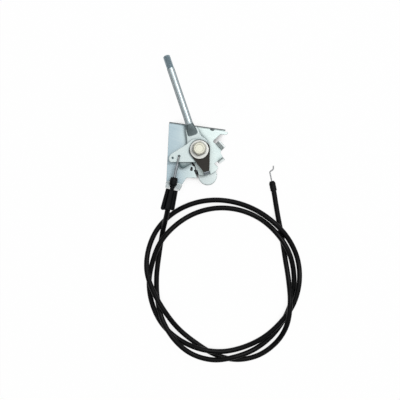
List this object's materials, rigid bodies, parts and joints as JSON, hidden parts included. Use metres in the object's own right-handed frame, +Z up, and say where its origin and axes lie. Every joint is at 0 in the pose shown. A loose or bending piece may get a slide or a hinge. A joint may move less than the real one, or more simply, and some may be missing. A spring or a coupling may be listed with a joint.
{
  "type": "throttle control lever with cable",
  "caption": "Friction-held hand lever on a zinc-plated bracket with a bell crank that pulls the wire of a long black throttle cable, lying in loose loops, Z-bend wire at its far end",
  "frame": {"origin": "centre of the bottom of the lever assembly's box, on the surface it lies on; the cable, its far ferrule and far wire aren't counted", "axes": "+Z up out of the bracket's face, +Y towards the lever's tip, +X to the right as seen from above"},
  "size_m": [0.1686, 0.3262, 0.0336],
  "materials": {
    "zinc": "bright zinc plate",
    "steel": "plain drawn steel",
    "passivated": "pale passivated zinc",
    "phosphate": "dark phosphate",
    "fibre": "pressed fibre",
    "spring": "oiled spring steel",
    "bronze": "sintered bronze",
    "nylon": "moulded satin",
    "jacket": "extruded satin"
  },
  "bodies": {
    "base": {"bracket": "zinc", "mounting_foot": "zinc", "friction_disc": "fibre", "pivot_bush": "bronze", "brake_plate": "phosphate", "large_washer": "passivated", "pivot_bolt": "passivated", "rear_friction_disc": "fibre", "pressure_washer": "zinc", "upper_disc_spring": "spring", "lower_disc_spring": "spring", "lock_nut": "zinc", "cable_fitting": "nylon", "throttle_cable": "jacket", "far_ferrule": "nylon"},
    "lever": {"lever": "zinc", "bell_crank": "zinc"},
    "control_wire": {"lever_wire": "steel", "support_tube": "steel"},
    "cable_end_wire": {"far_wire": "steel"}
  },
  "joints": [
    {"name": "lever_pivot", "type": "hinge", "parent": "base", "child": "lever", "pos_m": [0.00467, -0.01746, 0.02], "axis": [0, 0, 1], "range_deg": [-22, 5]},
    {"name": "wire_swing", "type": "hinge", "parent": "lever", "child": "control_wire", "pos_m": [-0.01663, -0.02506, 0.02495], "axis": [0, 0, 1], "range_deg": [-6.5, 28]},
    {"name": "far_wire_slide", "type": "slide", "parent": "base", "child": "cable_end_wire", "axis": [-0.172, 0.9851, 0], "range_m": [-0.0084, 0.0021]}
  ],
  "couplings": [
    {"joint": "wire_swing", "follows": "lever_pivot", "ratio": -1.25},
    {"joint": "far_wire_slide", "follows": "lever_pivot", "m_per_rad": 0.0208}
  ]
}
